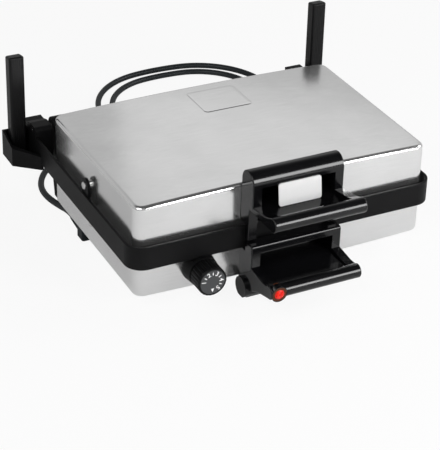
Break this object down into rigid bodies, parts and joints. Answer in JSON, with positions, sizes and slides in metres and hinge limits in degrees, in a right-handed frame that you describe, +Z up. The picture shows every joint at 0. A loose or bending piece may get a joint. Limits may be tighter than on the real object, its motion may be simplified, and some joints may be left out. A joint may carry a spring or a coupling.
{
  "type": "contact grill",
  "caption": "Countertop contact grill with a satin steel lid and base, black lever frame with rear posts, front grips, thermostat knob and mains cord.",
  "frame": {"origin": "on the table under the middle of the grill's bounding box, measured without the mains cord and its plug", "axes": "+X to the right seen from the front, +Y to the rear where the hinge is, +Z up"},
  "size_m": [0.4842, 0.6987, 0.2074],
  "materials": {
    "housing_steel": "fine satin brushed steel, slightly warm",
    "sheet_aluminium": "plain folded sheet",
    "plate_cast": "cast aluminium with a dark non-stick coating",
    "element_steel": "dull heat-tinted tube",
    "fastener_steel": "plated steel",
    "switch_body": "moulded switch housing",
    "frame_plastic": "matte black heat-proof plastic",
    "post_plastic": "satin black plastic",
    "handle_plastic": "polished black phenolic plastic",
    "bezel_plastic": "dark amber plastic",
    "lamp_red": "translucent red lens",
    "bulb_glass": "neon bulb",
    "pad_rubber": "soft black rubber",
    "pin_steel": "bright turned steel",
    "cord_sheath": "smooth slate-black cord sheath",
    "plug_plastic": "moulded black plug",
    "plug_metal": "nickel-plated brass",
    "badge_white": "plain white plate",
    "knob_plastic": "satin black plastic",
    "dial_grey": "dark grey disc printed with plain white numbers and ticks"
  },
  "bodies": {
    "base": {"base_shell": "housing_steel", "lower_reflector": "sheet_aluminium", "lower_grill_plate": "plate_cast", "lower_element": "element_steel", "lower_element_straps": "fastener_steel", "lower_pillars": "fastener_steel", "thermostat": "switch_body", "knob_collar": "frame_plastic", "lower_handle": "handle_plastic", "lower_handle_screws": "fastener_steel", "lamp_bezel": "bezel_plastic", "lamp_lens": "lamp_red", "indicator_lamp": "bulb_glass", "front_foot_pads": "pad_rubber", "rear_bracket_left": "frame_plastic", "rear_bracket_right": "frame_plastic", "bracket_screws": "fastener_steel", "hinge_pins": "pin_steel", "rear_foot_pads": "pad_rubber", "base_side_plugs": "pin_steel", "strain_relief": "cord_sheath", "power_cord_lead": "cord_sheath", "power_cord_coil": "cord_sheath", "power_cord_tail": "cord_sheath", "power_plug": "plug_plastic", "plug_pins": "plug_metal"},
    "frame": {"lever_frame": "frame_plastic", "left_post": "post_plastic", "right_post": "post_plastic", "post_screws": "fastener_steel"},
    "lid": {"lid_shell": "housing_steel", "upper_reflector": "sheet_aluminium", "upper_grill_plate": "plate_cast", "upper_element": "element_steel", "upper_element_straps": "fastener_steel", "upper_pillars": "fastener_steel", "upper_handle": "handle_plastic", "upper_handle_screws": "fastener_steel", "badge_plate": "badge_white", "pivot_screws": "pin_steel", "pivot_nuts": "fastener_steel"},
    "knob": {"thermostat_knob": "knob_plastic", "knob_dial": "dial_grey", "thermostat_shaft": "pin_steel"}
  },
  "joints": [
    {"name": "frame_hinge", "type": "hinge", "parent": "base", "child": "frame", "pos_m": [0, 0.18625, 0.1045], "axis": [-1, 0, 0], "range_deg": [0, 180]},
    {"name": "lid_tilt", "type": "hinge", "parent": "frame", "child": "lid", "pos_m": [0, 0.01025, 0.11], "axis": [-1, 0, 0], "range_deg": [0, 12.9]},
    {"name": "knob_turn", "type": "hinge", "parent": "base", "child": "knob", "pos_m": [-0.118, -0.15, 0.05], "axis": [0, 1, 0], "range_deg": [0, 270]}
  ],
  "couplings": [
    {"joint": "lid_tilt", "follows": "frame_hinge", "ratio": 0.0714}
  ]
}
